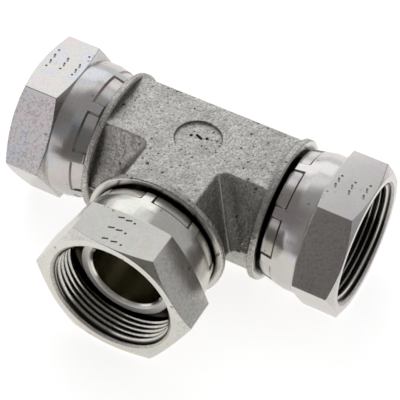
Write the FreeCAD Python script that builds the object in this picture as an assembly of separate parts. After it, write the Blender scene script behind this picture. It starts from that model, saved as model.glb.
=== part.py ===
import FreeCAD, Part
import math
import os
from FreeCAD import Vector

# Forged steel tee for hydraulic lines, with a swivel nut crimped on each of its three ports.
# Lengths are in millimetres. The origin is where the port axes cross, the run lies along X,
# the branch points to -Y and +Z is up. A station is a distance outwards from the origin along
# a port's axis. Each port is drawn along +X and then turned to its side.

# Thread of the nuts, G 1 1/2, 11 turns to the inch. Its bore is plain, at the depth of the roots.
THREAD_ROOT_DIAMETER = 47.86
THREAD_DEPTH = 11.3
MOUTH_CHAMFER = 0.77
RELIEF_DEPTH = 0.25
RELIEF_LENGTH = 4.9

# Outside of a nut. The wall is measured at the flats and gives 55 across them.
NUT_WALL = 3.57
NUT_LENGTH = 31.75
HEX_LENGTH = 16.9
FACE_INSET = 0.3
FRONT_CHAMFER_ANGLE = 23.0
BACK_CHAMFER_ANGLE = 16.5
SKIRT_INSET = 0.45
SKIRT_TAPER_ANGLE = 11.5
LIP_WALL = 4.65
TAIL_CHAMFER = 0.7
TAIL_MOUTH_CHAMFER = 0.7

# Crimp that holds a nut on, pressed by a ring of jaws. A phase turns the ring of one nut.
JAW_COUNT = 8
RIDGE_ARC = 9.0
JAW_LENGTH = 5.2
JAW_DEPTH = 0.55
JAW_CORNER_RADIUS = 0.9
RIGHT_JAW_PHASE = -0.8
LEFT_JAW_PHASE = -22.5
BRANCH_JAW_PHASE = 1.3

# Gaps between a nut and the body
RUNNING_CLEARANCE = 0.08
LIP_CLEARANCE = 0.4
SHOULDER_GAP = 0.3
TAIL_GAP = 1.05

# Turned end of a port. The collar lies this far inside the thread's roots.
COLLAR_INSET = 2.03
COLLAR_LENGTH = 7.4
COLLAR_STEP = 1.7
SHOULDER_ANGLE = 35.0
NECK_LENGTH = 5.3
NOSE_ANGLE = 60.0
NOSE_LENGTH = 6.2
NOSE_LAND = 2.67
PASSAGE_CHAMFER = 1.25

# Flange behind each nut, and how far it stands out beyond the nut's flats and the forging
FLANGE_MARGIN = 0.6
FLANGE_THICKNESS = 2.9
FLANGE_CHAMFER = 0.55
FLANGE_SIDE_STEP = 1.8
FLANGE_TOP_STEP = 4.3

# Forged middle of the body, drafted both ways from its parting line
DRAFT_ANGLE = 26.7
INNER_CORNER_RADIUS = 5.0
TOP_EDGE_RADIUS = 0.9
ARM_LENGTH = 7.0
FLASH_THICKNESS = 0.9
FLASH_REACH = 0.4
FLASH_CORNER_RADIUS = 4.1
PAD_DIAMETER = 18.1
PAD_DEPTH = 1.0
PAD_DRAFT = 0.3
PAD_OFFSET = 4.1

# How far pieces of one solid run into each other, and how far cuts run out of what they cut
ROOTING = 8.0
OVERLAP = 0.3
CUT_MARGIN = 1.0

AXIS_X = Vector(1, 0, 0)
AXIS_Z = Vector(0, 0, 1)
ORIGIN = Vector(0, 0, 0)


def tangent(degrees):
    return math.tan(math.radians(degrees))


# Radii, from the thread inwards to the passage and outwards to the forging
thread_radius = THREAD_ROOT_DIAMETER / 2
collar_radius = thread_radius - COLLAR_INSET
neck_radius = collar_radius - COLLAR_STEP
nose_radius = collar_radius - NOSE_LENGTH * tangent(NOSE_ANGLE / 2)
passage_radius = nose_radius - NOSE_LAND - PASSAGE_CHAMFER
bearing_radius = collar_radius + RUNNING_CLEARANCE
lip_radius = neck_radius + LIP_CLEARANCE
tail_radius = lip_radius + LIP_WALL
flats_radius = thread_radius + NUT_WALL
corner_radius = flats_radius / math.cos(math.radians(30))
face_radius = flats_radius - FACE_INSET
skirt_radius = flats_radius - SKIRT_INSET
flange_radius = flats_radius + FLANGE_MARGIN
parting_half_width = flange_radius - FLANGE_SIDE_STEP
half_height = flange_radius - FLANGE_TOP_STEP
top_half_width = parting_half_width - half_height * tangent(DRAFT_ANGLE)

# Stations, from the forging outwards
flange_back = parting_half_width + ARM_LENGTH
flange_face = flange_back + FLANGE_THICKNESS
neck_end = flange_face + NECK_LENGTH
collar_start = neck_end + COLLAR_STEP / tangent(SHOULDER_ANGLE)
collar_end = collar_start + COLLAR_LENGTH
nose_end = collar_end + NOSE_LENGTH
nut_tail = flange_face + TAIL_GAP
nut_face = nut_tail + NUT_LENGTH
hex_back = nut_face - HEX_LENGTH
taper_start = nut_tail + TAIL_CHAMFER
taper_end = taper_start + (skirt_radius - tail_radius) / tangent(SKIRT_TAPER_ANGLE)
arm_reach = flange_back + OVERLAP


def at(station, radius):
    return Vector(station, 0, radius)


def turned(edges, degrees=360.0):
    """Solid of revolution about the port's axis from a closed outline of edges."""
    face = Part.Face(Part.Wire(edges))
    return face.revolve(ORIGIN, AXIS_X, degrees)


def turned_polygon(points, degrees=360.0):
    corners = [at(station, radius) for station, radius in points]
    corners.append(corners[0])
    edges = [Part.makeLine(a, b) for a, b in zip(corners, corners[1:])]
    return turned(edges, degrees)


def port_end():
    """Flange, neck, collar and cone nose of one port, rooted inside the forged middle."""
    root = flange_back - ROOTING
    outline = [
        (root, 0),
        (root, neck_radius),
        (flange_back, neck_radius),
        (flange_back, flange_radius - FLANGE_CHAMFER),
        (flange_back + FLANGE_CHAMFER, flange_radius),
        (flange_face - FLANGE_CHAMFER, flange_radius),
        (flange_face, flange_radius - FLANGE_CHAMFER),
        (flange_face, neck_radius),
        (neck_end, neck_radius),
        (collar_start, collar_radius),
        (collar_end, collar_radius),
        (nose_end, nose_radius),
        (nose_end, 0),
    ]
    return turned_polygon(outline)


def port_passage():
    """Flow passage of one port, with the chamfer at the nose's mouth."""
    mouth_radius = passage_radius + PASSAGE_CHAMFER
    outline = [
        (0, 0),
        (0, passage_radius),
        (nose_end - PASSAGE_CHAMFER, passage_radius),
        (nose_end, mouth_radius),
        (nose_end + CUT_MARGIN, mouth_radius),
        (nose_end + CUT_MARGIN, 0),
    ]
    return turned_polygon(outline)


def drafted_bar(start, end):
    """Upper half of one straight stretch of the forging, drafted from its parting line, along X."""
    corners = [
        Vector(start, -parting_half_width, 0),
        Vector(start, parting_half_width, 0),
        Vector(start, top_half_width, half_height),
        Vector(start, -top_half_width, half_height),
    ]
    profile = Part.Face(Part.makePolygon(corners + corners[:1]))
    return profile.extrude(Vector(end - start, 0, 0))


def inner_corner_edges(half):
    """Edges where the walls of the branch meet those of the run."""
    found = []
    for edge in half.Edges:
        low, high = sorted([vertex.Point for vertex in edge.Vertexes], key=lambda point: point.z)
        leans_inwards = abs(low.x) - abs(high.x) > 1e-6 and abs(low.y) - abs(high.y) > 1e-6
        if leans_inwards and abs(abs(low.x) - parting_half_width) < 1e-6 and low.y < 0:
            found.append(edge)
    return found


def top_rim_edges(half):
    """Edges round the flat top, apart from those at the ends of the three arms."""
    found = []
    for edge in half.Edges:
        ends = [vertex.Point for vertex in edge.Vertexes]
        on_top = all(abs(point.z - half_height) < 1e-6 for point in ends)
        at_run_end = all(abs(abs(point.x) - arm_reach) < 1e-6 for point in ends)
        at_branch_end = all(abs(point.y + arm_reach) < 1e-6 for point in ends)
        if on_top and not at_run_end and not at_branch_end:
            found.append(edge)
    return found


def forged_half():
    """Upper half of the forged middle, with rounded inner corners and a rounded rim on top."""
    run = drafted_bar(-arm_reach, arm_reach)
    branch = placed(drafted_bar(0, arm_reach), -90)
    half = run.fuse(branch).removeSplitter()
    half = half.makeFillet(INNER_CORNER_RADIUS, inner_corner_edges(half))
    return half.makeFillet(TOP_EDGE_RADIUS, top_rim_edges(half))


def flash():
    """Trimmed flash that runs round the parting line, standing proud of the drafted walls."""
    w = parting_half_width + FLASH_REACH
    r = FLASH_CORNER_RADIUS
    k = r * (1 - math.cos(math.radians(45)))
    z = -FLASH_THICKNESS / 2
    right_arc = (Vector(w + r, -w, z), Vector(w + k, -w - k, z), Vector(w, -w - r, z))
    left_arc = (Vector(-w, -w - r, z), Vector(-w - k, -w - k, z), Vector(-w - r, -w, z))
    back_left = Vector(-arm_reach, w, z)
    back_right = Vector(arm_reach, w, z)
    front_right = Vector(arm_reach, -w, z)
    branch_right = Vector(w, -arm_reach, z)
    branch_left = Vector(-w, -arm_reach, z)
    front_left = Vector(-arm_reach, -w, z)
    edges = [
        Part.makeLine(back_left, back_right),
        Part.makeLine(back_right, front_right),
        Part.makeLine(front_right, right_arc[0]),
        Part.Arc(*right_arc).toShape(),
        Part.makeLine(right_arc[2], branch_right),
        Part.makeLine(branch_right, branch_left),
        Part.makeLine(branch_left, left_arc[0]),
        Part.Arc(*left_arc).toShape(),
        Part.makeLine(left_arc[2], front_left),
        Part.makeLine(front_left, back_left),
    ]
    return Part.Face(Part.Wire(edges)).extrude(Vector(0, 0, FLASH_THICKNESS))


def forged_middle():
    upper = forged_half()
    lower = upper.mirror(ORIGIN, AXIS_Z)
    return upper.fuse([lower, flash()])


def top_recess():
    floor = Vector(0, -PAD_OFFSET, half_height - PAD_DEPTH)
    low_radius = PAD_DIAMETER / 2 - PAD_DRAFT
    high_radius = PAD_DIAMETER / 2 + CUT_MARGIN * PAD_DRAFT / PAD_DEPTH
    return Part.makeCone(low_radius, high_radius, PAD_DEPTH + CUT_MARGIN, floor, AXIS_Z)


def tee_body():
    ends = []
    cuts = [top_recess()]
    for turn in (0, 180, -90):
        ends.append(placed(port_end(), turn))
        cuts.append(placed(port_passage(), turn))
    body = forged_middle().fuse(ends).removeSplitter()
    return body.cut(cuts).removeSplitter()


def nut_envelope():
    """Round envelope of a nut: the hexagon's chamfers and the skirt with its crimped taper."""
    outside = corner_radius + CUT_MARGIN
    front_corner = nut_face - (outside - face_radius) * tangent(FRONT_CHAMFER_ANGLE)
    back_corner = hex_back + (outside - skirt_radius) * tangent(BACK_CHAMFER_ANGLE)
    outline = [
        (nut_tail, 0),
        (nut_tail, tail_radius - TAIL_CHAMFER),
        (taper_start, tail_radius),
        (taper_end, skirt_radius),
        (hex_back, skirt_radius),
        (back_corner, outside),
        (front_corner, outside),
        (nut_face, face_radius),
        (nut_face, 0),
    ]
    return turned_polygon(outline)


def taper_radius(station):
    return tail_radius + (station - taper_start) * tangent(SKIRT_TAPER_ANGLE)


def hexagon_bar():
    corners = []
    for step in range(7):
        angle = math.radians(30 + 60 * step)
        y = corner_radius * math.sin(angle)
        z = corner_radius * math.cos(angle)
        corners.append(Vector(nut_tail - CUT_MARGIN, y, z))
    return Part.Face(Part.makePolygon(corners)).extrude(Vector(NUT_LENGTH + 2 * CUT_MARGIN, 0, 0))


def nut_inside():
    """Thread bore, run-out relief, bearing bore on the collar, and the lip turned in behind it."""
    mouth_radius = thread_radius + MOUTH_CHAMFER
    relief_radius = thread_radius + RELIEF_DEPTH
    thread_end = nut_face - THREAD_DEPTH
    relief_end = thread_end - RELIEF_LENGTH
    setback = SHOULDER_GAP / math.sin(math.radians(SHOULDER_ANGLE))
    lip_end = neck_end + LIP_CLEARANCE / tangent(SHOULDER_ANGLE) - setback
    bearing_start = lip_end + (bearing_radius - lip_radius) / tangent(SHOULDER_ANGLE)
    outline = [
        (nut_tail - CUT_MARGIN, 0),
        (nut_tail - CUT_MARGIN, lip_radius + TAIL_MOUTH_CHAMFER),
        (nut_tail, lip_radius + TAIL_MOUTH_CHAMFER),
        (nut_tail + TAIL_MOUTH_CHAMFER, lip_radius),
        (lip_end, lip_radius),
        (bearing_start, bearing_radius),
        (relief_end - (relief_radius - bearing_radius), bearing_radius),
        (relief_end, relief_radius),
        (thread_end, relief_radius),
        (thread_end, thread_radius),
        (nut_face - MOUTH_CHAMFER, thread_radius),
        (nut_face, mouth_radius),
        (nut_face + CUT_MARGIN, mouth_radius),
        (nut_face + CUT_MARGIN, 0),
    ]
    return turned_polygon(outline)


def jaw_mark():
    """Shape that one crimping jaw leaves in the skirt, centred on the up direction."""
    arc = 360 / JAW_COUNT - RIDGE_ARC
    front = nut_tail + JAW_LENGTH
    back = nut_tail - CUT_MARGIN
    outside = flats_radius + CUT_MARGIN
    outline = [
        (front, taper_radius(front) - JAW_DEPTH),
        (front, outside),
        (back, outside),
        (back, taper_radius(back) - JAW_DEPTH),
    ]
    mark = turned_polygon(outline, arc)
    corners = []
    for edge in mark.Edges:
        at_front = all(abs(vertex.Point.x - front) < 1e-6 for vertex in edge.Vertexes)
        if at_front and isinstance(edge.Curve, Part.Line):
            corners.append(edge)
    mark = mark.makeFillet(JAW_CORNER_RADIUS, corners)
    mark.rotate(ORIGIN, AXIS_X, -arc / 2)
    return mark


def swivel_nut(jaw_phase):
    cuts = [nut_inside()]
    for index in range(JAW_COUNT):
        mark = jaw_mark()
        mark.rotate(ORIGIN, AXIS_X, jaw_phase + (index + 0.5) * 360 / JAW_COUNT)
        cuts.append(mark)
    return nut_envelope().common(hexagon_bar()).cut(cuts)


def placed(shape, turn):
    shape.rotate(ORIGIN, AXIS_Z, turn)
    return shape


os.makedirs("parts", exist_ok=True)
tee_body().exportStep("parts/tee_body.step")
placed(swivel_nut(RIGHT_JAW_PHASE), 0).exportStep("parts/right_run_nut.step")
placed(swivel_nut(LEFT_JAW_PHASE), 180).exportStep("parts/left_run_nut.step")
placed(swivel_nut(BRANCH_JAW_PHASE), -90).exportStep("parts/branch_nut.step")
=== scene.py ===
import math
import bpy
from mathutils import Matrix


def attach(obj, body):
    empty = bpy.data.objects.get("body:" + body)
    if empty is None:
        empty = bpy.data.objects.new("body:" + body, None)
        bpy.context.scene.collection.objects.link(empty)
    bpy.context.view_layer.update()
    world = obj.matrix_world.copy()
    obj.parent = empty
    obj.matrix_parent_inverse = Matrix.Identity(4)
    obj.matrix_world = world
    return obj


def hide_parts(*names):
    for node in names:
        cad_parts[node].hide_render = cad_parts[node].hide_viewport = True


# Hydraulic tee: a forged body with three crimped swivel nuts, zinc plated.
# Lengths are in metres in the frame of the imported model, and mm turns millimetres into them.

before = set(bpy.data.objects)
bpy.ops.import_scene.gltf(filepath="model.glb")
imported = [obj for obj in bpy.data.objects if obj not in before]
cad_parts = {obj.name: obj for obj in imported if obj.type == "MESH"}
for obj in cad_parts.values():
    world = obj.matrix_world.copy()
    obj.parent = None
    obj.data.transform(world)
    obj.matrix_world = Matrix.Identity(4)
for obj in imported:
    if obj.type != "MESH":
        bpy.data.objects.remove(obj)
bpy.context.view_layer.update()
mm = 0.001
print("frame loaded:", ", ".join(sorted(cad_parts)))


# Shared helpers

def deselectAll():
    if bpy.context.object and bpy.context.object.mode != "OBJECT":
        bpy.ops.object.mode_set(mode="OBJECT")
    bpy.ops.object.select_all(action="DESELECT")


def pick(piece):
    deselectAll()
    piece.select_set(True)
    bpy.context.view_layer.objects.active = piece


def linearColour(code):
    # sRGB hex code to the linear values that sockets take
    parts = [int(code[i:i + 2], 16) / 255 for i in (1, 3, 5)]
    return [p / 12.92 if p <= 0.04045 else ((p + 0.055) / 1.055) ** 2.4 for p in parts] + [1]


def addNode(tree, kind, settings=None, inputs=None, output=0):
    # settings are the node's own choices, inputs are other nodes' sockets, numbers or sRGB hex codes,
    # and output says which of its sockets comes back
    node = tree.nodes.new("ShaderNode" + kind)
    for key, value in (settings or {}).items():
        setattr(node, key, value)
    for key, value in (inputs or {}).items():
        if isinstance(value, bpy.types.NodeSocket):
            tree.links.new(value, node.inputs[key])
        else:
            node.inputs[key].default_value = linearColour(value) if isinstance(value, str) else value
    return node.outputs[output] if node.outputs else node


def newMaterial(name):
    material = bpy.data.materials.new(name)
    material.use_nodes = True
    material.node_tree.nodes.clear()
    return material, material.node_tree


def region(tree, value, rising=None, falling=None, share=1.0):
    # grows from 0 to share while value passes through rising, and goes back to 0 through falling
    mask = share
    for ends, start in ((rising, 0.0), (falling, 1.0)):
        if ends:
            step = addNode(tree, "MapRange", {"interpolation_type": "SMOOTHSTEP"}, {
                "Value": value, "From Min": ends[0], "From Max": ends[1], "To Min": start, "To Max": 1.0 - start})
            mask = addNode(tree, "Math", {"operation": "MULTIPLY"}, {0: mask, 1: step})
    return mask


def layered(tree, colour, layers):
    # paints each tint over the ones before it, where its mask is
    for mask, tint in layers:
        colour = addNode(tree, "Mix", {"data_type": "RGBA"}, {0: mask, 6: colour, 7: tint}, 2)
    return colour


# Camera, at the photograph's angle

cameraView = {
    "place": (0.18425, -0.38888, 0.46096),
    "tilt": (42.1158, -2.4001, 27.9637),
    "lens": 149.59,
    "sensor": 36.0,
    "nearest": 0.01,
}

deselectAll()
bpy.ops.object.camera_add(location=cameraView["place"], rotation=[math.radians(a) for a in cameraView["tilt"]])
camera = bpy.context.object
camera.data.lens = cameraView["lens"]
camera.data.sensor_width = cameraView["sensor"]
camera.data.clip_start = cameraView["nearest"]
bpy.context.scene.camera = camera
bpy.context.scene.view_settings.view_transform = "Standard"
print("camera set")


# Studio: white table top, soft surroundings and one large soft lamp behind on the left, in metres and degrees

studio = {
    "floorHeight": -28.1 * mm,
    "floorSize": 8.0,
    "floorColour": "#e8e8e8",
    # glow that only the camera and only the metal's reflections see
    "seenGlow": ("#ffffff", 0.76),
    "mirroredGlow": ("#fffdf8", 0.62),
    # where the table top ends in the metal's reflections, at the front and on the right
    "tableFront": (-0.23, -0.11),
    "tableRight": (0.09, 0.17),
    "lampAzimuth": -148,
    "lampElevation": 33,
    "lampDistance": 1.2,
    "lampSize": (0.97, 0.64),
    "lampPower": 1.72,
    "surround": 0.34,
    # soft panels: azimuth from the front (-Y) towards +X, elevation, softness, level, tint
    "panels": [
        ((-185, -95), (49, 68), 6, 1.0, "#ffffff"),
        ((-200, -100), (-35, 16), 7, 0.8, "#ffffff"),
        ((100, 190), (-20, 58), 10, 0.42, "#ffffff"),
        ((-98, -20), (20, 60), 6, 0.2, "#fff8f2"),
        ((-98, -17.5), (-35, 15), 2, 0.85, "#fdfaff"),
        ((-17.5, 85), (-35, 50), 2.5, 0.16, "#fff9f2"),
        ((-17, -8), (19, 46), 3, 0.3, "#ffffff"),
    ],
}


def buildFloor():
    # a matt white table top, so bright that it ends in white and keeps only the soft shadow
    deselectAll()
    bpy.ops.mesh.primitive_plane_add(size=studio["floorSize"], location=(0, 0, studio["floorHeight"]))
    floor = bpy.context.object
    floor.name = "studioFloor"
    material, tree = newMaterial("whiteTableTop")
    rays = addNode(tree, "LightPath").node.outputs
    top = addNode(tree, "BsdfDiffuse", {}, {"Color": studio["floorColour"]})
    for (tint, level), ray in ((studio["seenGlow"], "Is Camera Ray"), (studio["mirroredGlow"], "Is Glossy Ray")):
        strength = addNode(tree, "Math", {"operation": "MULTIPLY"}, {0: rays[ray], 1: level})
        glow = addNode(tree, "Emission", {}, {"Color": tint, "Strength": strength})
        top = addNode(tree, "AddShader", {}, {0: top, 1: glow})
    place = addNode(tree, "TexCoord", output="Object")
    x, y, _ = addNode(tree, "SeparateXYZ", {}, {0: place}).node.outputs
    beyond = addNode(tree, "Math", {"operation": "MAXIMUM"}, {
        0: region(tree, y, falling=studio["tableFront"]), 1: region(tree, x, rising=studio["tableRight"])})
    beyond = addNode(tree, "Math", {"operation": "MULTIPLY"}, {0: beyond, 1: rays["Is Glossy Ray"]})
    table = addNode(tree, "MixShader", {}, {0: beyond, 1: top, 2: addNode(tree, "BsdfTransparent")})
    addNode(tree, "OutputMaterial", {}, {"Surface": table})
    floor.data.materials.append(material)


def buildSurroundings():
    # pale soft panels round the object, told apart by azimuth and elevation, and plain white to the camera
    world = bpy.data.worlds.new("studioSurroundings")
    bpy.context.scene.world = world
    world.use_nodes = True
    tree = world.node_tree
    tree.nodes.clear()
    direction = addNode(tree, "TexCoord", output="Generated")
    x, y, z = addNode(tree, "SeparateXYZ", {}, {0: direction}).node.outputs
    height = addNode(tree, "Math", {"operation": "ARCSINE"}, {0: z})
    elevation = addNode(tree, "Math", {"operation": "MULTIPLY"}, {0: height, 1: math.degrees(1)})
    forward = addNode(tree, "Math", {"operation": "MULTIPLY"}, {0: y, 1: -1.0})
    turn = addNode(tree, "Math", {"operation": "ARCTAN2"}, {0: x, 1: forward})
    azimuth = addNode(tree, "Math", {"operation": "MULTIPLY"}, {0: turn, 1: math.degrees(1)})
    layers = []
    for (left, right), (low, high), soft, level, tint in studio["panels"]:
        across = region(tree, azimuth, (left - soft, left + soft), (right - soft, right + soft))
        upright = region(tree, elevation, (low - soft, low + soft), (high - soft, high + soft))
        panel = addNode(tree, "Math", {"operation": "MULTIPLY"}, {0: across, 1: upright})
        layers.append((panel, layered(tree, "#000000", [(level, tint)])))
    colour = layered(tree, layered(tree, "#000000", [(studio["surround"], "#ffffff")]), layers)
    around = addNode(tree, "Background", {}, {"Color": colour, "Strength": 1.0})
    white = addNode(tree, "Background", {}, {"Color": "#ffffff", "Strength": 1.0})
    seen = addNode(tree, "LightPath", output="Is Camera Ray")
    addNode(tree, "OutputWorld", {}, {"Surface": addNode(tree, "MixShader", {}, {0: seen, 1: around, 2: white})})


def buildLamp():
    turn, lift = math.radians(studio["lampAzimuth"]), math.radians(studio["lampElevation"])
    away = [math.sin(turn) * math.cos(lift), -math.cos(turn) * math.cos(lift), math.sin(lift)]
    deselectAll()
    bpy.ops.object.light_add(type="AREA", location=[studio["lampDistance"] * a for a in away],
                             rotation=(math.pi / 2 - lift, 0, turn))
    lamp = bpy.context.object
    lamp.name = "softLamp"
    lamp.data.shape = "RECTANGLE"
    lamp.data.size, lamp.data.size_y = studio["lampSize"]
    lamp.data.energy = studio["lampPower"]


buildFloor()
buildSurroundings()
buildLamp()
print("studio built")


# Where things are on a port, in millimetres from the crossing of the axes

portPlan = {
    "hexBack": 52.1,
    "nutFace": 69.0,
    "boreRadius": 14.4,
}


# Marks of the eight jaws that crimp a nut's skirt on its port, in millimetres and degrees

jawMarks = {
    "count": 8,
    "halfArc": 18.0,
    "tail": 37.25,
    "length": 5.2,
    "taperStart": 37.95,
    "tailRadius": 25.25,
    "taperAngle": 11.5,
    "depth": 0.55,
    "lean": 0.5,
    "tolerance": 0.05,  # a point this near to the floor of a mark is on it
}


def portCoordinates(tree, turn):
    # Object coordinates in millimetres, turned so that the port points along X: place, x, y, z, distance to the axis
    place = addNode(tree, "Mapping", {"vector_type": "POINT"}, {
        "Vector": addNode(tree, "TexCoord", output="Object"), "Rotation": (0, 0, -math.radians(turn)),
        "Scale": (1000, 1000, 1000)})
    x, y, z = addNode(tree, "SeparateXYZ", {}, {0: place}).node.outputs
    across = addNode(tree, "CombineXYZ", {}, {"Y": y, "Z": z})
    radius = addNode(tree, "VectorMath", {"operation": "LENGTH"}, {0: across}, "Value")
    return place, x, y, z, radius


def crevices(tree, reach, shades):
    # 1 in the corners that dirt and shade keep dark, 0 in the open, with reach in millimetres
    exposure = addNode(tree, "AmbientOcclusion", {"samples": 8, "only_local": True}, {"Distance": reach * mm}, "AO")
    return region(tree, exposure, falling=shades)


def roughEdged(tree, place, noises, reach):
    # the place shaken by two noises, so that what is drawn there gets rough edges
    shake = addNode(tree, "CombineXYZ", {}, {"X": noises[0], "Y": noises[1], "Z": noises[0]})
    return addNode(tree, "VectorMath", {"operation": "MULTIPLY_ADD"}, {0: shake, 1: (reach, -reach, reach), 2: place})


def spots(tree, place, spacing, share, size):
    # spots in the given share of cells, each of its own size, and size is a share of the spacing
    smallest, softEdge = 0.4 * size, (-0.02, 0.05)
    cells = addNode(tree, "TexVoronoi", {}, {"Vector": place, "Scale": 1 / spacing}).node.outputs
    chance = addNode(tree, "SeparateColor", {}, {0: cells["Color"]})
    reach = addNode(tree, "Mix", {}, {0: region(tree, chance, (1 - share, 1.0)), 2: smallest, 3: size})
    depth = addNode(tree, "Math", {"operation": "SUBTRACT"}, {0: reach, 1: cells["Distance"]})
    return addNode(tree, "Math", {"operation": "MULTIPLY"}, {
        0: region(tree, depth, softEdge), 1: region(tree, chance, (1 - share, 1.01 - share))})


# Zinc-plated steel nuts: the plating gives bright flats with faint tinted clouds, fine specks and a few stains,
# and the turned skirt and face keep fine rings

platedNut = {
    "threadRoot": "#38332a",
    "mark": "#a39e99",
    "stain": "#75655a",
    "freckle": "#7f7a74",
    "crevice": "#5e5a55",
    "jawLine": "#56524e",
    "flatRoughness": 0.11,
    "skirtRoughness": 0.17,
    "mouthRoughness": 0.5,
    "cloudRoughness": 0.08,
    # millimetres
    "cloudSize": 8.0,
    "grainSize": 0.9,  # drawn coarser than the real plating, so that it shows
    "toolMarkSize": 0.3,
    "edgeShake": 1.8,
    "creviceReach": 1.3,
    "bumpDepth": 0.02,
    # spacing in millimetres, share of the cells, size as a share of the spacing
    "stains": (5.0, 0.3, 0.15),
    "freckles": (1.5, 0.35, 0.22),
    # on the top flat, on the other flats, where it is turned
    "speckStrength": (0.12, 0.5, 0.12),
    "grainHeight": (0.2, 0.4, 0.1),
    # on the flats, where it is turned
    "freckleStrength": (0.6, 0.1),
    "stainStrength": 0.6,
    "jawLineStrength": 0.7,
    "bumpStrength": 0.5,
    # levels of a noise or of the open sky between which a layer fades
    "cloudBands": ((0.36, 0.50), (0.50, 0.64)),
    "freckleClouds": (0.42, 0.62),
    "speckGrain": (0.3, 0.6),
    "creviceShades": (0.35, 0.85),
}

# where a finish begins or ends, in millimetres: along the port, up or sideways, or out from the axis
nutEdges = {
    "skirt": (portPlan["hexBack"] - 0.1, portPlan["hexBack"] + 0.1),
    "face": (68.9, 68.97),
    "topFlat": (25.5, 26.5),
    "jawLine": ((-0.75, -0.35), (0.0, 0.25)),
    "threadRoots": (22.8, 23.6),
    "threadMouth": (67.9, 68.2),
    "threadEnd": (56.0, 57.5),
    "boreWall": (24.25, 24.3),
    "mouthCone": (24.65, 24.8),
    "markStations": ((53.7, 53.9), (67.3, 67.5)),
    "markSides": ((-12.1, -11.9), (11.9, 12.1)),
    "markHeights": ((26.48, 26.52), (27.42, 27.46)),
}


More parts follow.
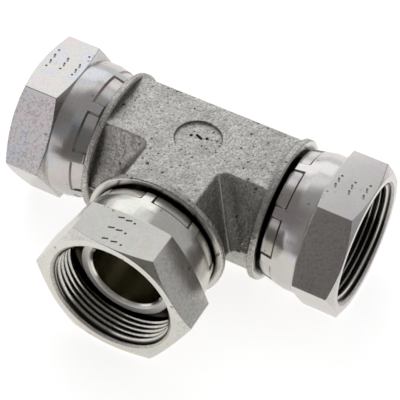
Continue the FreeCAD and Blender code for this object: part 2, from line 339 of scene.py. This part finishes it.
def nutMaterial(name, turn, phase, tints, speck):
    material, tree = newMaterial(name)
    place, station, y, z, radius = portCoordinates(tree, turn)
    cloud = addNode(tree, "TexNoise", {}, {"Vector": place, "Scale": 1 / platedNut["cloudSize"], "Detail": 2.5})
    grain = addNode(tree, "TexNoise", {}, {"Vector": place, "Scale": 1 / platedNut["grainSize"]})
    onSkirt = region(tree, station, falling=nutEdges["skirt"])
    isTurned = addNode(tree, "Math", {"operation": "MAXIMUM"}, {0: onSkirt, 1: region(tree, station, nutEdges["face"])})
    offTop = region(tree, z, falling=nutEdges["topFlat"])

    def byPlace(onTop, onOthers, whereTurned):
        flats = addNode(tree, "Mix", {}, {0: offTop, 2: onTop, 3: onOthers})
        return addNode(tree, "Mix", {}, {0: isTurned, 2: flats, 3: whereTurned})

    # specks of the plating, fewer on the top flat and where it is turned
    speckShare = byPlace(*platedNut["speckStrength"])
    specks = addNode(tree, "Math", {"operation": "MULTIPLY"}, {
        0: region(tree, grain, falling=platedNut["speckGrain"]), 1: speckShare})
    stainPlace = roughEdged(tree, place, (grain, cloud), platedNut["edgeShake"])
    stains = addNode(tree, "Math", {"operation": "MULTIPLY"}, {
        0: spots(tree, stainPlace, *platedNut["stains"]), 1: platedNut["stainStrength"]})
    onFlats, whereTurned = platedNut["freckleStrength"]
    freckleShare = addNode(tree, "Mix", {}, {
        0: isTurned, 2: region(tree, cloud, platedNut["freckleClouds"], share=onFlats), 3: whereTurned})
    freckles = addNode(tree, "Math", {"operation": "MULTIPLY"}, {
        0: spots(tree, stainPlace, *platedNut["freckles"]), 1: freckleShare})
    # painted shade: dark lines round the marks of the crimping jaws, along their walls
    turnAngle = addNode(tree, "Math", {"operation": "ARCTAN2"}, {0: y, 1: z})
    marksRound = addNode(tree, "Math", {"operation": "MULTIPLY_ADD"}, {
        0: turnAngle, 1: jawMarks["count"] / math.tau, 2: phase * jawMarks["count"] / 360})
    shareOfMark = addNode(tree, "Math", {"operation": "FRACT"}, {0: marksRound})
    fromMiddle = addNode(tree, "Math", {"operation": "SUBTRACT"}, {0: shareOfMark, 1: 0.5})
    fromMiddle = addNode(tree, "Math", {"operation": "ABSOLUTE"}, {0: fromMiddle})
    beside = addNode(tree, "Math", {"operation": "MULTIPLY_ADD"}, {
        0: fromMiddle, 1: math.tau / jawMarks["count"], 2: -math.radians(jawMarks["halfArc"])})
    beside = addNode(tree, "Math", {"operation": "MULTIPLY"}, {0: beside, 1: radius})
    beyond = addNode(tree, "Math", {"operation": "SUBTRACT"}, {0: station, 1: jawMarks["tail"] + jawMarks["length"]})
    outside = addNode(tree, "Math", {"operation": "MAXIMUM"}, {0: beside, 1: beyond})
    jawLines = addNode(tree, "Math", {"operation": "MULTIPLY"}, {
        0: region(tree, outside, *nutEdges["jawLine"], platedNut["jawLineStrength"]), 1: onSkirt})
    # painted shade and dirt: the roots of the thread and the inside behind it are painted dark
    roots = addNode(tree, "Math", {"operation": "MULTIPLY"}, {
        0: region(tree, radius, nutEdges["threadRoots"]), 1: region(tree, station, falling=nutEdges["threadMouth"])})
    rootShadeAndDirt = addNode(tree, "Math", {"operation": "MAXIMUM"}, {
        0: roots, 1: region(tree, station, falling=nutEdges["threadEnd"])})
    rootShadeAndDirt = addNode(tree, "Math", {"operation": "MULTIPLY"}, {
        0: rootShadeAndDirt, 1: region(tree, radius, falling=nutEdges["boreWall"])})
    # painted shade: the pressed marks on the top flat are painted darker than the flat
    onFlat = addNode(tree, "Math", {"operation": "MULTIPLY"}, {
        0: region(tree, station, *nutEdges["markStations"]), 1: region(tree, y, *nutEdges["markSides"])})
    pressed = addNode(tree, "Math", {"operation": "MULTIPLY"}, {
        0: onFlat, 1: region(tree, z, *nutEdges["markHeights"])})
    thin, thick = platedNut["cloudBands"]
    colour = layered(tree, tints[0], [
        (region(tree, cloud, thin), tints[1]), (region(tree, cloud, thick), tints[2]), (specks, speck),
        (crevices(tree, platedNut["creviceReach"], platedNut["creviceShades"]), platedNut["crevice"]),
        (stains, platedNut["stain"]), (freckles, platedNut["freckle"]), (jawLines, platedNut["jawLine"]),
        (rootShadeAndDirt, platedNut["threadRoot"]), (pressed, platedNut["mark"])])
    rough = addNode(tree, "Mix", {}, {0: onSkirt, 2: platedNut["flatRoughness"], 3: platedNut["skirtRoughness"]})
    rough = addNode(tree, "Math", {"operation": "MULTIPLY_ADD"}, {0: cloud, 1: platedNut["cloudRoughness"], 2: rough})
    atMouth = addNode(tree, "Math", {"operation": "MULTIPLY"}, {
        0: region(tree, radius, falling=nutEdges["mouthCone"]), 1: region(tree, station, nutEdges["threadMouth"])})
    rough = addNode(tree, "Mix", {}, {0: atMouth, 2: rough, 3: platedNut["mouthRoughness"]})
    # tool marks run round the skirt and the face
    along = addNode(tree, "CombineXYZ", {}, {"X": station, "Y": radius})
    rings = addNode(tree, "TexNoise", {}, {"Vector": along, "Scale": 1 / platedNut["toolMarkSize"], "Detail": 1.0})
    rings = addNode(tree, "Math", {"operation": "MULTIPLY"}, {0: rings, 1: isTurned})
    height = addNode(tree, "Math", {"operation": "MULTIPLY_ADD"}, {
        0: grain, 1: byPlace(*platedNut["grainHeight"]), 2: rings})
    bump = addNode(tree, "Bump", {}, {
        "Strength": platedNut["bumpStrength"], "Distance": platedNut["bumpDepth"] * mm, "Height": height})
    shader = addNode(tree, "BsdfPrincipled", {}, {
        "Base Color": colour, "Metallic": 1.0, "Roughness": rough, "Normal": bump})
    addNode(tree, "OutputMaterial", {}, {"Surface": shader})
    return material


# Forged steel, zinc plated: the forging and blasting give a granular grey skin with small pits, and the ports are
# turned and smooth

forgedBody = {
    "light": "#e0deda",
    "dark": "#85837e",
    "even": "#bdbbb7",
    "pit": "#35322e",
    "turned": "#dddbd7",
    "nose": "#f6f4f0",
    "passage": "#c8c4b2",
    "gap": "#1d1b17",
    "creaseHighlight": "#f8f6f2",
    "crevice": "#5a5752",
    "skinRoughness": 0.42,
    "turnedRoughness": 0.24,
    "noseRoughness": 0.42,
    "lipRoughness": 0.16,
    # millimetres
    "grainSize": 0.8,  # drawn coarser than the real blasted grain, so that it shows
    "lumpSize": 2.4,
    "mottleSize": 7.0,
    "edgeShake": 2.0,
    "creviceReach": 9.0,
    "creaseShift": 1.5,
    "bumpDepth": 0.22,
    # spacing in millimetres, share of the cells, size as a share of the spacing
    "pits": (1.9, 0.5, 0.27),
    "gouges": (4.4, 0.55, 0.17),
    # off the top, on the top
    "pitShare": (0.35, 1.0),
    "pitStrength": 0.85,
    "evenStrength": 0.55,
    "mottleStrength": 0.3,
    "bumpStrength": 0.6,
    # how far pits sink and the crease stands out, against the grain
    "pitHeight": -1.2,
    "creaseHeight": 1.5,
    # levels of a noise or of the open sky between which a layer fades
    "pitMottle": (0.38, 0.52),
    "grainBand": (0.22, 0.66),
    "lumpBand": (0.45, 0.65),
    "lumpHeights": (0.35, 0.7),
    "mottleBand": (0.42, 0.7),
    "creviceShades": (0.25, 0.95),
}

# where a finish begins or ends, in millimetres: along a port, up or sideways, or out from its axis
bodyEdges = {
    "top": (20.0, 23.0),
    "turned": (35.9, 36.1),
    "nose": (51.0, 51.5),
    "lip": (14.9, 15.1),
    "gapRadii": ((17.8, 19.8), (24.9, 26.9)),
    "gapStations": (36.05, 36.15),
    "passage": (portPlan["boreRadius"] + 0.05, portPlan["boreRadius"] + 0.3),
    "branchPassage": (0.0, 1.0),
    "branchPort": (45.0, 46.0),
    "creaseWidth": ((-0.75, -0.25), (0.25, 0.75)),
    "creaseStart": (13.5, 15.0),
    "creaseHeights": ((-23.6, -23.5), (23.5, 23.6)),
    "markSides": (8.0, 8.5),
    "markStations": ((-2.1, -1.9), (6.9, 7.1)),
    "markHeights": ((21.97, 22.03), (22.67, 22.73)),
}


def bodyMaterial():
    material, tree = newMaterial("forgedZincSteel")
    place, x, _, z, runRadius = portCoordinates(tree, 0)
    _, branchStation, _, _, branchRadius = portCoordinates(tree, -90)
    grain = addNode(tree, "TexNoise", {}, {
        "Vector": place, "Scale": 1 / forgedBody["grainSize"], "Detail": 3.0, "Roughness": 0.65})
    lumps = addNode(tree, "TexNoise", {}, {"Vector": place, "Scale": 1 / forgedBody["lumpSize"], "Roughness": 0.6})
    mottle = addNode(tree, "TexNoise", {}, {"Vector": place, "Scale": 1 / forgedBody["mottleSize"], "Detail": 3.0})
    # small pits, most of them on top, and a few gouges all over
    pitPlace = roughEdged(tree, place, (grain, lumps), forgedBody["edgeShake"])
    smallPits = addNode(tree, "Math", {"operation": "MULTIPLY"}, {
        0: spots(tree, pitPlace, *forgedBody["pits"]), 1: region(tree, mottle, forgedBody["pitMottle"])})
    onTop = region(tree, z, bodyEdges["top"])
    smallPits = addNode(tree, "Math", {"operation": "MULTIPLY"}, {
        0: smallPits, 1: addNode(tree, "Mix", {}, {
            0: onTop, 2: forgedBody["pitShare"][0], 3: forgedBody["pitShare"][1]})})
    pits = addNode(tree, "Math", {"operation": "MAXIMUM"}, {
        0: smallPits, 1: spots(tree, pitPlace, *forgedBody["gouges"])})
    outOnRun = addNode(tree, "Math", {"operation": "ABSOLUTE"}, {0: x})
    outwards = addNode(tree, "Math", {"operation": "MAXIMUM"}, {0: outOnRun, 1: branchStation})
    isTurned = region(tree, outwards, bodyEdges["turned"])
    isNose = region(tree, outwards, bodyEdges["nose"])
    # no light reaches the gap behind a nut
    gaps = [addNode(tree, "Math", {"operation": "MULTIPLY"}, {
        0: region(tree, radius, *bodyEdges["gapRadii"]), 1: region(tree, station, bodyEdges["gapStations"])})
        for radius, station in ((runRadius, outOnRun), (branchRadius, branchStation))]
    inBranch = addNode(tree, "Math", {"operation": "MULTIPLY"}, {
        0: region(tree, branchRadius, falling=bodyEdges["passage"]),
        1: region(tree, branchStation, bodyEdges["branchPassage"])})
    inPassage = addNode(tree, "Math", {"operation": "MAXIMUM"}, {
        0: region(tree, runRadius, falling=bodyEdges["passage"]), 1: inBranch})
    # painted highlight: a light line along the bottom of the right pocket, which the bump also raises a little
    across = addNode(tree, "Math", {"operation": "SUBTRACT"}, {0: x, 1: branchStation})
    across = addNode(tree, "Math", {"operation": "ADD"}, {0: across, 1: forgedBody["creaseShift"]})
    crease = addNode(tree, "Math", {"operation": "MULTIPLY"}, {
        0: region(tree, across, *bodyEdges["creaseWidth"]), 1: region(tree, x, bodyEdges["creaseStart"])})
    crease = addNode(tree, "Math", {"operation": "MULTIPLY"}, {
        0: crease, 1: region(tree, z, *bodyEdges["creaseHeights"])})
    # painted shade: the strokes of the mark in the recess are painted dark
    inRecess = addNode(tree, "Math", {"operation": "MULTIPLY"}, {
        0: region(tree, outOnRun, falling=bodyEdges["markSides"]),
        1: region(tree, branchStation, *bodyEdges["markStations"])})
    pressed = addNode(tree, "Math", {"operation": "MULTIPLY"}, {
        0: inRecess, 1: region(tree, z, *bodyEdges["markHeights"])})
    colour = layered(tree, forgedBody["dark"], [
        (region(tree, grain, forgedBody["grainBand"]), forgedBody["light"]),
        (region(tree, lumps, forgedBody["lumpBand"], share=forgedBody["evenStrength"]), forgedBody["even"]),
        (region(tree, mottle, forgedBody["mottleBand"], share=forgedBody["mottleStrength"]), forgedBody["dark"]),
        (addNode(tree, "Math", {"operation": "MULTIPLY"}, {0: pits, 1: forgedBody["pitStrength"]}), forgedBody["pit"]),
        (crevices(tree, forgedBody["creviceReach"], forgedBody["creviceShades"]), forgedBody["crevice"]),
        (isTurned, forgedBody["turned"]), (isNose, forgedBody["nose"]),
        (addNode(tree, "Math", {"operation": "MAXIMUM"}, {0: gaps[0], 1: gaps[1]}), forgedBody["gap"]),
        (inPassage, forgedBody["passage"]), (crease, forgedBody["creaseHighlight"]), (pressed, forgedBody["pit"])])
    rough = addNode(tree, "Mix", {}, {0: isTurned, 2: forgedBody["skinRoughness"], 3: forgedBody["turnedRoughness"]})
    portRadius = addNode(tree, "Mix", {}, {
        0: region(tree, branchStation, bodyEdges["branchPort"]), 2: runRadius, 3: branchRadius})
    noseRough = addNode(tree, "Mix", {}, {
        0: region(tree, portRadius, bodyEdges["lip"]), 2: forgedBody["lipRoughness"], 3: forgedBody["noseRoughness"]})
    rough = addNode(tree, "Mix", {}, {0: isNose, 2: rough, 3: noseRough})
    skin = addNode(tree, "Math", {"operation": "SUBTRACT"}, {0: 1.0, 1: isTurned})
    relief = addNode(tree, "Math", {"operation": "MULTIPLY_ADD"}, {0: pits, 1: forgedBody["pitHeight"], 2: grain})
    relief = addNode(tree, "Math", {"operation": "ADD"}, {
        0: relief, 1: region(tree, lumps, forgedBody["lumpHeights"])})
    relief = addNode(tree, "Math", {"operation": "MULTIPLY_ADD"}, {0: crease, 1: forgedBody["creaseHeight"], 2: relief})
    relief = addNode(tree, "Math", {"operation": "MULTIPLY"}, {0: relief, 1: skin})
    bump = addNode(tree, "Bump", {}, {
        "Strength": forgedBody["bumpStrength"], "Distance": forgedBody["bumpDepth"] * mm, "Height": relief})
    shader = addNode(tree, "BsdfPrincipled", {}, {
        "Base Color": colour, "Metallic": 1.0, "Roughness": rough, "Normal": bump})
    addNode(tree, "OutputMaterial", {}, {"Surface": shader})
    return material


# Thread of the nuts: 55 degree ridges, right-handed, modelled once on the +X port, in millimetres and degrees

threadForm = {
    "pitch": 2.309,
    "crestRadius": 22.42,
    "rootRadius": 23.90,
    "rounding": 0.317,
    "flankAngle": 27.5,
    "innerEnd": 56.8,
    "outerEnd": 68.15,
    "mouthRadius": 24.7,
    "wall": 0.35,
    "overrun": 1.5,  # swept this far past the face before it is cut
    "turns": 8,
    "steps": 96,
    "mergeWithin": 0.001,
    "smoothBelow": 40,
}


def threadProfile():
    # one pitch from root to root, as station and radius
    pitch, rounding = threadForm["pitch"], threadForm["rounding"]
    root, crest = threadForm["rootRadius"], threadForm["crestRadius"]
    bend = 90 - threadForm["flankAngle"]
    half = []
    for share in (0, 0.5, 1):
        angle = math.radians(bend * share)
        half.append((rounding * math.sin(angle), root - rounding * (1 - math.cos(angle))))
    for share in (1, 0.5, 0):
        angle = math.radians(bend * share)
        half.append((pitch / 2 - rounding * math.sin(angle), crest + rounding * (1 - math.cos(angle))))
    return half + [(pitch - station, radius) for station, radius in reversed(half[:-1])]


def addModifier(piece, kind, settings):
    modifier = piece.modifiers.new(kind.lower(), kind)
    for key, value in settings.items():
        setattr(modifier, key, value)
    bpy.ops.object.modifier_apply(modifier=modifier.name)


def buildThread():
    deselectAll()
    first = portPlan["nutFace"] + threadForm["overrun"] - threadForm["turns"] * threadForm["pitch"]
    points = [(first + station, radius) for station, radius in threadProfile()]
    bpy.ops.mesh.primitive_plane_add(size=1 * mm, location=(0, 0, 0))
    thread = bpy.context.object
    bpy.ops.object.mode_set(mode="EDIT")
    bpy.ops.mesh.merge(type="CENTER")
    bpy.ops.transform.translate(value=(points[0][0] * mm, 0, points[0][1] * mm))
    for here, there in zip(points, points[1:]):
        step = ((there[0] - here[0]) * mm, 0, (there[1] - here[1]) * mm)
        bpy.ops.mesh.extrude_vertices_move(TRANSFORM_OT_translate={"value": step})
    bpy.ops.object.mode_set(mode="OBJECT")
    addModifier(thread, "SCREW", {
        "axis": "X", "angle": 2 * math.pi, "screw_offset": threadForm["pitch"] * mm, "iterations": threadForm["turns"],
        "steps": threadForm["steps"], "render_steps": threadForm["steps"], "use_merge_vertices": True,
        "merge_threshold": threadForm["mergeWithin"] * mm, "use_smooth_shade": True,
    })
    bpy.ops.object.mode_set(mode="EDIT")
    for station, outwards in ((threadForm["innerEnd"], -1), (threadForm["outerEnd"], 1)):
        bpy.ops.mesh.select_all(action="SELECT")
        bpy.ops.mesh.bisect(plane_co=(station * mm, 0, 0), plane_no=(outwards, 0, 0), clear_outer=True)
    bpy.ops.object.mode_set(mode="OBJECT")
    # the 45 degree mouth cuts across the crests
    for vertex in thread.data.vertices:
        x, y, z = vertex.co
        radius = math.hypot(y, z)
        mouth = threadForm["mouthRadius"] * mm - (portPlan["nutFace"] * mm - x)
        if radius < mouth:
            vertex.co = (x, y * mouth / radius, z * mouth / radius)
    return thread


def facesAxis(piece):
    # share of the faces that look at the port's axis
    inward = [f for f in piece.data.polygons if f.normal.y * f.center.y + f.normal.z * f.center.z < 0]
    return len(inward) / len(piece.data.polygons)


thread = buildThread()
print("thread swept:", len(thread.data.polygons), "faces,", round(facesAxis(thread), 2), "look inwards")


def finishThread(piece):
    # a wall behind the ridges, sunk in the nut
    pick(piece)
    addModifier(piece, "SOLIDIFY", {"thickness": threadForm["wall"] * mm, "offset": -1.0, "use_rim": True})
    bpy.ops.object.shade_smooth_by_angle(angle=math.radians(threadForm["smoothBelow"]))


finishThread(thread)
print("thread finished:", len(thread.data.polygons), "faces")


# Dressed copies of the four solids, with small rounded edges, in millimetres and degrees

edgeFinish = {
    "nutBevel": 0.24,
    "nutSmoothBelow": 20,
    "bodyBevel": 0.17,
    "bodySmoothBelow": 34,
    "outsideNutBore": 24.3,
    "outsidePassage": 14.9,
    "sharperThan": 28,
    "segments": 3,
    "mergeWithin": 0.002,
    "flatWithin": 0.5,
}


def joinedCopy(nodeName, pieceName):
    # the node's loose triangles as one clean skin
    piece = bpy.data.objects.new(pieceName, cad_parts[nodeName].data.copy())
    bpy.context.scene.collection.objects.link(piece)
    pick(piece)
    bpy.ops.mesh.customdata_custom_splitnormals_clear()
    bpy.ops.object.mode_set(mode="EDIT")
    bpy.ops.mesh.select_all(action="SELECT")
    bpy.ops.mesh.remove_doubles(threshold=edgeFinish["mergeWithin"] * mm)
    bpy.ops.mesh.dissolve_limited(angle_limit=math.radians(edgeFinish["flatWithin"]))
    bpy.ops.object.mode_set(mode="OBJECT")
    return piece


def roundEdges(piece, width, isOutside):
    # rounds the sharp edges whose ends are both outside, with places in millimetres
    pick(piece)
    bpy.ops.object.mode_set(mode="EDIT")
    bpy.ops.mesh.select_mode(type="EDGE")
    bpy.ops.mesh.select_all(action="DESELECT")
    bpy.ops.mesh.edges_select_sharp(sharpness=math.radians(edgeFinish["sharperThan"]))
    bpy.ops.object.mode_set(mode="OBJECT")
    points = piece.data.vertices
    for edge in piece.data.edges:
        edge.select = edge.select and all(isOutside(points[end].co / mm) for end in edge.vertices)
    bpy.ops.object.mode_set(mode="EDIT")
    bpy.ops.mesh.bevel(offset=width * mm, segments=edgeFinish["segments"], clamp_overlap=False)
    bpy.ops.object.mode_set(mode="OBJECT")


def outsideNut(turn):
    # clear of the bore, whose steps are too small to round
    side = (-math.sin(math.radians(turn)), math.cos(math.radians(turn)))
    return lambda place: math.hypot(place.x * side[0] + place.y * side[1], place.z) > edgeFinish["outsideNutBore"]


def outsideBody(place):
    # clear of the drilled passages
    fromRun, fromBranch = math.hypot(place.y, place.z), math.hypot(place.x, place.z)
    return fromRun > edgeFinish["outsidePassage"] and (place.y > 0 or fromBranch > edgeFinish["outsidePassage"])


def shade(piece, below):
    # flats stay flat and only the rounded edges shade between them
    pick(piece)
    bpy.ops.object.shade_smooth_by_angle(angle=math.radians(below))
    addModifier(piece, "WEIGHTED_NORMAL", {"mode": "FACE_AREA", "weight": 100, "keep_sharp": True})


def turnedCopy(piece, name, turn):
    # the same shape on another port, turned about the crossing of the axes
    copy = bpy.data.objects.new(name, piece.data.copy())
    bpy.context.scene.collection.objects.link(copy)
    pick(copy)
    copy.rotation_euler = (0, 0, math.radians(turn))
    bpy.ops.object.transform_apply(location=False, rotation=True, scale=False)
    return copy


# The walls of the jaw marks lean back, as pressed metal does

def leanJawWalls(piece, turn, phase):
    cosine, sine = math.cos(math.radians(turn)), math.sin(math.radians(turn))
    taper = math.tan(math.radians(jawMarks["taperAngle"]))
    pitch, near = 360 / jawMarks["count"], jawMarks["tolerance"]
    shrinkLength = 1 - jawMarks["lean"] / jawMarks["length"]
    moved = 0
    for vertex in piece.data.vertices:
        x, y, z = (value / mm for value in vertex.co)
        station, side = x * cosine + y * sine, y * cosine - x * sine
        radius = math.hypot(side, z)
        floor = jawMarks["tailRadius"] + (station - jawMarks["taperStart"]) * taper - jawMarks["depth"]
        outward = station - jawMarks["tail"]
        if abs(radius - floor) > near or not near < outward < jawMarks["length"] + near:
            continue
        angle = math.degrees(math.atan2(-side, z))
        middle = phase + (math.floor((angle - phase) / pitch) + 0.5) * pitch
        shrinkArc = 1 - math.degrees(jawMarks["lean"] / radius) / jawMarks["halfArc"]
        angle = math.radians(middle + (angle - middle) * shrinkArc)
        station = jawMarks["tail"] + outward * shrinkLength
        radius -= outward * (1 - shrinkLength) * taper
        side, z = -radius * math.sin(angle), radius * math.cos(angle)
        vertex.co = (mm * (station * cosine - side * sine), mm * (station * sine + side * cosine), mm * z)
        moved += 1
    print("jaw walls leant:", moved, "points")


# Small marks pressed in with punches: plain strokes and dots on the top flats and in the recess

pressedMarks = {
    # height of the surface, length and width of a stroke, width of a dot, depth, all in millimetres
    "nutPunch": (27.5, 2.4, 0.75, 0.95, 0.4),
    "recessPunch": (22.8, 3.4, 1.1, 1.3, 0.4),
    # place along the port, place sideways, turn of a stroke in degrees or None for a dot
    "nut": [
        (54.9, -3.4, 20), (54.9, -0.4, 20), (55.1, 2.0, None),
        (60.6, -4.2, 20), (60.4, -1.2, 20), (60.6, 1.4, None),
        (66.0, -3.6, 20), (65.8, -0.2, 20), (66.0, 2.6, None),
    ],
    "leftExtra": [(54.4, -9.6, None), (66.2, -7.1, None)],
    "recess": [(-3.4, -3.2, None), (-0.4, -2.6, 65), (2.6, -2.0, None)],
    "cornerShare": 0.3,  # radius of a stroke's corners, as a share of its width
}


def buildPunches(places, surface, length, width, dot, depth):
    # one cutter for all marks of a surface
    punches = []
    for x, y, turn in places:
        deselectAll()
        place = (x * mm, y * mm, surface * mm)
        if turn is None:
            bpy.ops.mesh.primitive_uv_sphere_add(segments=16, ring_count=8, radius=dot / 2 * mm, location=place)
        else:
            bpy.ops.mesh.primitive_cube_add(size=1 * mm, location=place, rotation=(0, 0, math.radians(turn)))
            bpy.ops.object.mode_set(mode="EDIT")
            bpy.ops.transform.resize(value=(width, length, 2 * depth), orient_type="LOCAL")
            bpy.ops.mesh.bevel(offset=pressedMarks["cornerShare"] * width * mm, segments=2)
            bpy.ops.object.mode_set(mode="OBJECT")
        punches.append(bpy.context.object)
    deselectAll()
    for punch in punches:
        punch.select_set(True)
    bpy.context.view_layer.objects.active = punches[0]
    bpy.ops.object.join()
    bpy.ops.object.transform_apply(location=True, rotation=True, scale=True)
    return bpy.context.object


def press(piece, punches):
    pick(piece)
    addModifier(piece, "BOOLEAN", {"operation": "DIFFERENCE", "object": punches, "solver": "MANIFOLD"})


nutPunches = buildPunches(pressedMarks["nut"], *pressedMarks["nutPunch"])
leftPunches = buildPunches(pressedMarks["nut"] + pressedMarks["leftExtra"], *pressedMarks["nutPunch"])

# for each node: first word of the pieces' names, body, turn of the port, turn of the jaw marks round it,
# tints of the clouds, colour of the specks, marks to press
nutPlan = {
    "right_run_nut": ("right", "right_nut", 0, -0.8, ("#dbd4db", "#d9d7d4", "#d8d6d5"), "#b5b1ab", nutPunches),
    "left_run_nut": ("left", "left_nut", 180, -22.5, ("#d3c9cc", "#d0cecb", "#cbcdd3"), "#86817a", leftPunches),
    "branch_nut": ("branch", "branch_nut", -90, 1.3, ("#e2ded5", "#e3e1de", "#ddded6"), "#b5b1ab", nutPunches),
}
for nodeName, (side, bodyName, turn, phase, tints, speck, punches) in nutPlan.items():
    steel = nutMaterial(side + "ZincPlatedSteel", turn, phase, tints, speck)
    nut = joinedCopy(nodeName, side + "NutShell")
    leanJawWalls(nut, turn, phase)
    roundEdges(nut, edgeFinish["nutBevel"], outsideNut(turn))
    cutter = turnedCopy(punches, "punches", turn)
    press(nut, cutter)
    bpy.data.objects.remove(cutter)
    shade(nut, edgeFinish["nutSmoothBelow"])
    nut.data.materials.clear()
    nut.data.materials.append(steel)
    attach(nut, bodyName)
    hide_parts(nodeName)
    lining = turnedCopy(thread, side + "NutThread", turn)
    lining.data.materials.append(steel)
    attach(lining, bodyName)
    print(side, "nut dressed:", len(nut.data.polygons), "faces")
for helper in (thread, nutPunches, leftPunches):
    bpy.data.objects.remove(helper)

tee = joinedCopy("tee_body", "teeForging")
roundEdges(tee, edgeFinish["bodyBevel"], outsideBody)
recessPunches = buildPunches(pressedMarks["recess"], *pressedMarks["recessPunch"])
press(tee, recessPunches)
bpy.data.objects.remove(recessPunches)
shade(tee, edgeFinish["bodySmoothBelow"])
tee.data.materials.clear()
tee.data.materials.append(bodyMaterial())
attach(tee, "body")
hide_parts("tee_body")
print("body dressed:", len(tee.data.polygons), "faces")
